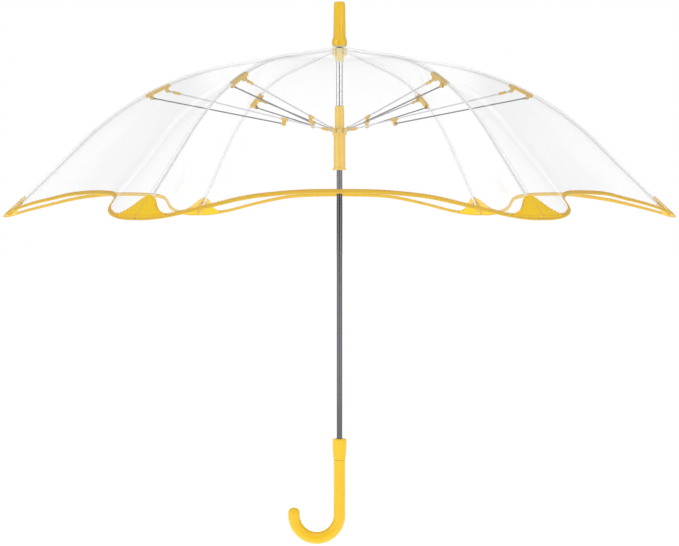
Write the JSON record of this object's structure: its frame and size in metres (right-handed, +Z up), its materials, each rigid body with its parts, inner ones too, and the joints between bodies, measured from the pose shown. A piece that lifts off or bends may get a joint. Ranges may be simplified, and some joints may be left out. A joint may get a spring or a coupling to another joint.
{
  "type": "children's umbrella",
  "caption": "Clear dome umbrella for a child, open, on a straight shaft with a hook handle; the ribs fold down as the runner slides.",
  "frame": {"origin": "on the shaft's axis, level with the top of the handle's collar", "axes": "+Z up the shaft to the cap, the hook opens towards -X, a panel of the canopy faces -Y"},
  "size_m": [0.8072, 0.7176, 0.6505],
  "materials": {
    "dark_shaft": "dark grey enamelled steel tube, satin",
    "polished_sleeve": "polished bright steel",
    "yellow_handle": "glossy warm yellow moulded plastic",
    "yellow_collar": "glossy warm yellow moulded plastic",
    "yellow_cap": "glossy yellow plastic with moulded flutes",
    "yellow_runner": "glossy yellow plastic",
    "yellow_clamp": "semi-gloss yellow plastic",
    "cream_plastic": "pale yellow plastic",
    "white_rod": "white fibreglass rod, semi-gloss",
    "steel_wire": "bright drawn steel wire",
    "dark_wire": "dark drawn steel wire",
    "spring_steel": "plain spring steel",
    "clear_film": "clear flexible plastic sheet, glossy",
    "yellow_binding": "yellow woven binding tape and corner patches, stitched"
  },
  "bodies": {
    "shaft": {"shaft_tube": "dark_shaft", "upper_sleeve": "polished_sleeve", "hook_handle": "yellow_handle", "handle_collar": "yellow_collar", "tip_cap": "yellow_cap", "canopy_washer": "cream_plastic", "crown_notch": "cream_plastic", "crown_wire": "steel_wire"},
    "runner": {"runner": "yellow_runner", "runner_wire": "steel_wire"},
    "catch": {"hold_open_catch": "spring_steel"},
    "rib_1": {"rib_rod_1": "white_rod", "rib_clamp_1": "yellow_clamp", "canopy_gore_1": "clear_film"},
    "rib_tip_1": {"tip_rod_1": "white_rod", "hem_binding_1": "yellow_binding"},
    "stretcher_1": {"stretcher_wire_1": "steel_wire", "stretcher_joint_1": "yellow_clamp"},
    "brace_1": {"brace_wire_1": "dark_wire"},
    "rib_2": {"rib_rod_2": "white_rod", "rib_clamp_2": "yellow_clamp", "canopy_gore_2": "clear_film"},
    "rib_tip_2": {"tip_rod_2": "white_rod", "hem_binding_2": "yellow_binding"},
    "stretcher_2": {"stretcher_wire_2": "steel_wire", "stretcher_joint_2": "yellow_clamp"},
    "brace_2": {"brace_wire_2": "dark_wire"},
    "rib_3": {"rib_rod_3": "white_rod", "rib_clamp_3": "yellow_clamp", "canopy_gore_3": "clear_film"},
    "rib_tip_3": {"tip_rod_3": "white_rod", "hem_binding_3": "yellow_binding"},
    "stretcher_3": {"stretcher_wire_3": "steel_wire", "stretcher_joint_3": "yellow_clamp"},
    "brace_3": {"brace_wire_3": "dark_wire"},
    "rib_4": {"rib_rod_4": "white_rod", "rib_clamp_4": "yellow_clamp", "canopy_gore_4": "clear_film"},
    "rib_tip_4": {"tip_rod_4": "white_rod", "hem_binding_4": "yellow_binding"},
    "stretcher_4": {"stretcher_wire_4": "steel_wire", "stretcher_joint_4": "yellow_clamp"},
    "brace_4": {"brace_wire_4": "dark_wire"},
    "rib_5": {"rib_rod_5": "white_rod", "rib_clamp_5": "yellow_clamp", "canopy_gore_5": "clear_film"},
    "rib_tip_5": {"tip_rod_5": "white_rod", "hem_binding_5": "yellow_binding"},
    "stretcher_5": {"stretcher_wire_5": "steel_wire", "stretcher_joint_5": "yellow_clamp"},
    "brace_5": {"brace_wire_5": "dark_wire"},
    "rib_6": {"rib_rod_6": "white_rod", "rib_clamp_6": "yellow_clamp", "canopy_gore_6": "clear_film"},
    "rib_tip_6": {"tip_rod_6": "white_rod", "hem_binding_6": "yellow_binding"},
    "stretcher_6": {"stretcher_wire_6": "steel_wire", "stretcher_joint_6": "yellow_clamp"},
    "brace_6": {"brace_wire_6": "dark_wire"}
  },
  "joints": [
    {"name": "canopy_fold", "type": "hinge", "parent": "shaft", "child": "rib_1", "pos_m": [0.0069, 0, 0.46543], "axis": [0, 1, 0], "range_deg": [0, 72], "deforming": ["canopy_gore_1", "canopy_gore_2", "canopy_gore_3", "canopy_gore_4", "canopy_gore_5", "canopy_gore_6", "hem_binding_1", "hem_binding_2", "hem_binding_3", "hem_binding_4", "hem_binding_5", "hem_binding_6", "hold_open_catch"]},
    {"name": "rib_flex_1", "type": "hinge", "parent": "rib_1", "child": "rib_tip_1", "pos_m": [0.23529, 0, 0.4083], "axis": [0, 1, 0], "range_deg": [-23.5, 0]},
    {"name": "stretcher_fold_1", "type": "hinge", "parent": "rib_1", "child": "stretcher_1", "pos_m": [0.20642, 0, 0.41707], "axis": [0, 1, 0], "range_deg": [-144, 0]},
    {"name": "brace_fold_1", "type": "hinge", "parent": "rib_1", "child": "brace_1", "pos_m": [0.22531, 0, 0.40872], "axis": [0, 1, 0], "range_deg": [-149.29, 0]},
    {"name": "rib_fold_2", "type": "hinge", "parent": "shaft", "child": "rib_2", "pos_m": [0.00345, 0.00598, 0.46543], "axis": [-0.866, 0.5, 0], "range_deg": [0, 72]},
    {"name": "rib_flex_2", "type": "hinge", "parent": "rib_2", "child": "rib_tip_2", "pos_m": [0.11764, 0.20376, 0.4083], "axis": [-0.866, 0.5, 0], "range_deg": [-23.5, 0]},
    {"name": "stretcher_fold_2", "type": "hinge", "parent": "rib_2", "child": "stretcher_2", "pos_m": [0.10321, 0.17876, 0.41707], "axis": [-0.866, 0.5, 0], "range_deg": [-144, 0]},
    {"name": "brace_fold_2", "type": "hinge", "parent": "rib_2", "child": "brace_2", "pos_m": [0.11266, 0.19513, 0.40872], "axis": [-0.866, 0.5, 0], "range_deg": [-149.29, 0]},
    {"name": "rib_fold_3", "type": "hinge", "parent": "shaft", "child": "rib_3", "pos_m": [-0.00345, 0.00598, 0.46543], "axis": [-0.866, -0.5, 0], "range_deg": [0, 72]},
    {"name": "rib_flex_3", "type": "hinge", "parent": "rib_3", "child": "rib_tip_3", "pos_m": [-0.11764, 0.20376, 0.4083], "axis": [-0.866, -0.5, 0], "range_deg": [-23.5, 0]},
    {"name": "stretcher_fold_3", "type": "hinge", "parent": "rib_3", "child": "stretcher_3", "pos_m": [-0.10321, 0.17876, 0.41707], "axis": [-0.866, -0.5, 0], "range_deg": [-144, 0]},
    {"name": "brace_fold_3", "type": "hinge", "parent": "rib_3", "child": "brace_3", "pos_m": [-0.11266, 0.19513, 0.40872], "axis": [-0.866, -0.5, 0], "range_deg": [-149.29, 0]},
    {"name": "rib_fold_4", "type": "hinge", "parent": "shaft", "child": "rib_4", "pos_m": [-0.0069, 0, 0.46543], "axis": [0, -1, 0], "range_deg": [0, 72]},
    {"name": "rib_flex_4", "type": "hinge", "parent": "rib_4", "child": "rib_tip_4", "pos_m": [-0.23529, 0, 0.4083], "axis": [0, -1, 0], "range_deg": [-23.5, 0]},
    {"name": "stretcher_fold_4", "type": "hinge", "parent": "rib_4", "child": "stretcher_4", "pos_m": [-0.20642, 0, 0.41707], "axis": [0, -1, 0], "range_deg": [-144, 0]},
    {"name": "brace_fold_4", "type": "hinge", "parent": "rib_4", "child": "brace_4", "pos_m": [-0.22531, 0, 0.40872], "axis": [0, -1, 0], "range_deg": [-149.29, 0]},
    {"name": "rib_fold_5", "type": "hinge", "parent": "shaft", "child": "rib_5", "pos_m": [-0.00345, -0.00598, 0.46543], "axis": [0.866, -0.5, 0], "range_deg": [0, 72]},
    {"name": "rib_flex_5", "type": "hinge", "parent": "rib_5", "child": "rib_tip_5", "pos_m": [-0.11764, -0.20376, 0.4083], "axis": [0.866, -0.5, 0], "range_deg": [-23.5, 0]},
    {"name": "stretcher_fold_5", "type": "hinge", "parent": "rib_5", "child": "stretcher_5", "pos_m": [-0.10321, -0.17876, 0.41707], "axis": [0.866, -0.5, 0], "range_deg": [-144, 0]},
    {"name": "brace_fold_5", "type": "hinge", "parent": "rib_5", "child": "brace_5", "pos_m": [-0.11266, -0.19513, 0.40872], "axis": [0.866, -0.5, 0], "range_deg": [-149.29, 0]},
    {"name": "rib_fold_6", "type": "hinge", "parent": "shaft", "child": "rib_6", "pos_m": [0.00345, -0.00598, 0.46543], "axis": [0.866, 0.5, 0], "range_deg": [0, 72]},
    {"name": "rib_flex_6", "type": "hinge", "parent": "rib_6", "child": "rib_tip_6", "pos_m": [0.11764, -0.20376, 0.4083], "axis": [0.866, 0.5, 0], "range_deg": [-23.5, 0]},
    {"name": "stretcher_fold_6", "type": "hinge", "parent": "rib_6", "child": "stretcher_6", "pos_m": [0.10321, -0.17876, 0.41707], "axis": [0.866, 0.5, 0], "range_deg": [-144, 0]},
    {"name": "brace_fold_6", "type": "hinge", "parent": "rib_6", "child": "brace_6", "pos_m": [0.11266, -0.19513, 0.40872], "axis": [0.866, 0.5, 0], "range_deg": [-149.29, 0]},
    {"name": "runner_pivot", "type": "hinge", "parent": "stretcher_1", "child": "runner", "pos_m": [0.0069, 0, 0.36871], "axis": [0, 1, 0], "range_deg": [0, 72]},
    {"name": "catch_press", "type": "hinge", "parent": "shaft", "child": "catch", "pos_m": [0, 0, 0.29011], "axis": [1, 0, 0], "range_deg": [0, 4.2], "stiffness_Nm_per_rad": 0.6}
  ],
  "couplings": [
    {"joint": "rib_flex_1", "follows": "canopy_fold", "ratio": -0.32639},
    {"joint": "stretcher_fold_1", "follows": "canopy_fold", "ratio": -2},
    {"joint": "brace_fold_1", "follows": "canopy_fold", "ratio": -2.0733},
    {"joint": "rib_fold_2", "follows": "canopy_fold", "ratio": 1},
    {"joint": "rib_flex_2", "follows": "canopy_fold", "ratio": -0.32639},
    {"joint": "stretcher_fold_2", "follows": "canopy_fold", "ratio": -2},
    {"joint": "brace_fold_2", "follows": "canopy_fold", "ratio": -2.0733},
    {"joint": "rib_fold_3", "follows": "canopy_fold", "ratio": 1},
    {"joint": "rib_flex_3", "follows": "canopy_fold", "ratio": -0.32639},
    {"joint": "stretcher_fold_3", "follows": "canopy_fold", "ratio": -2},
    {"joint": "brace_fold_3", "follows": "canopy_fold", "ratio": -2.0733},
    {"joint": "rib_fold_4", "follows": "canopy_fold", "ratio": 1},
    {"joint": "rib_flex_4", "follows": "canopy_fold", "ratio": -0.32639},
    {"joint": "stretcher_fold_4", "follows": "canopy_fold", "ratio": -2},
    {"joint": "brace_fold_4", "follows": "canopy_fold", "ratio": -2.0733},
    {"joint": "rib_fold_5", "follows": "canopy_fold", "ratio": 1},
    {"joint": "rib_flex_5", "follows": "canopy_fold", "ratio": -0.32639},
    {"joint": "stretcher_fold_5", "follows": "canopy_fold", "ratio": -2},
    {"joint": "brace_fold_5", "follows": "canopy_fold", "ratio": -2.0733},
    {"joint": "rib_fold_6", "follows": "canopy_fold", "ratio": 1},
    {"joint": "rib_flex_6", "follows": "canopy_fold", "ratio": -0.32639},
    {"joint": "stretcher_fold_6", "follows": "canopy_fold", "ratio": -2},
    {"joint": "brace_fold_6", "follows": "canopy_fold", "ratio": -2.0733},
    {"joint": "runner_pivot", "follows": "canopy_fold", "ratio": 1}
  ]
}
